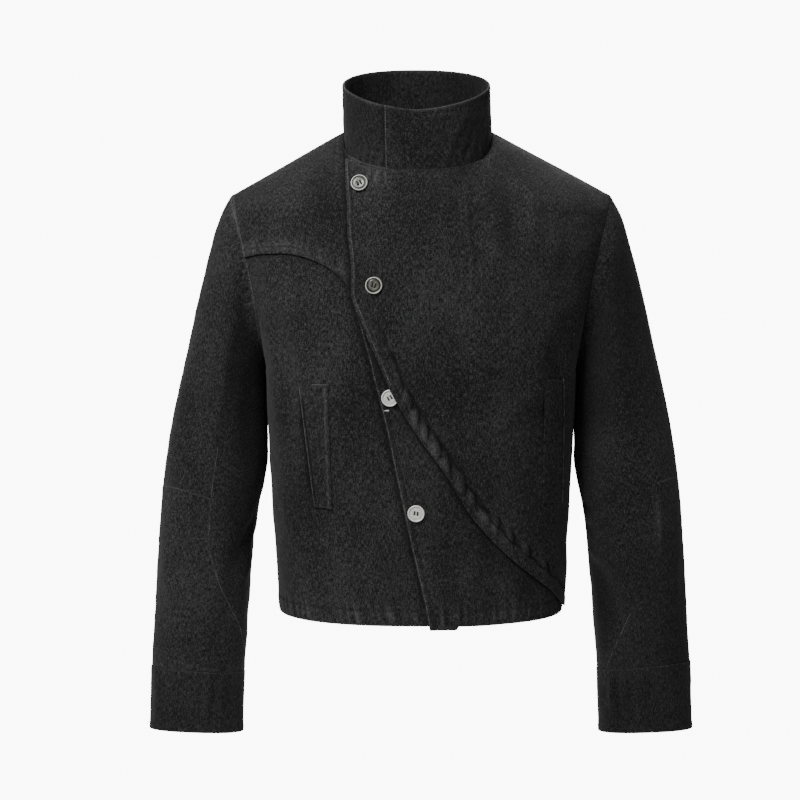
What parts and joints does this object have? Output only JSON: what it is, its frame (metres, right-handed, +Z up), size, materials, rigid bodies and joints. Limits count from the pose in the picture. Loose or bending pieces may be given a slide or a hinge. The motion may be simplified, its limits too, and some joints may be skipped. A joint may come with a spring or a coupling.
{
  "type": "denim jacket",
  "caption": "Cropped dark denim jacket with a stand collar, an asymmetric lapped front with buttons, welt pockets and darted sleeves, filled out as if worn",
  "frame": {"origin": "middle of the base of the neck, level with the inner ends of the shoulder seams", "axes": "+Z up, the front faces -Y, the wearer's left is +X"},
  "size_m": [0.6228, 0.278, 0.7615],
  "materials": {
    "denim": "black denim with grey flecks",
    "smoke_button": "smoky grey, pale rim",
    "pearl_button": "pearly white"
  },
  "bodies": {
    "root": {"back_panel": "denim", "right_front": "denim", "right_chest": "denim", "left_front_lower": "denim", "left_front_upper": "denim", "right_pocket_welt": "denim", "left_pocket_welt": "denim", "collar": "denim", "right_sleeve_upper": "denim", "right_sleeve_elbow": "denim", "right_sleeve_forearm": "denim", "right_sleeve_front": "denim", "right_cuff": "denim", "left_sleeve_upper": "denim", "left_sleeve_elbow": "denim", "left_sleeve_forearm": "denim", "left_sleeve_front": "denim", "left_cuff": "denim", "button_1": "smoke_button", "button_2": "smoke_button", "button_3": "pearl_button", "button_4": "pearl_button"}
  },
  "joints": []
}
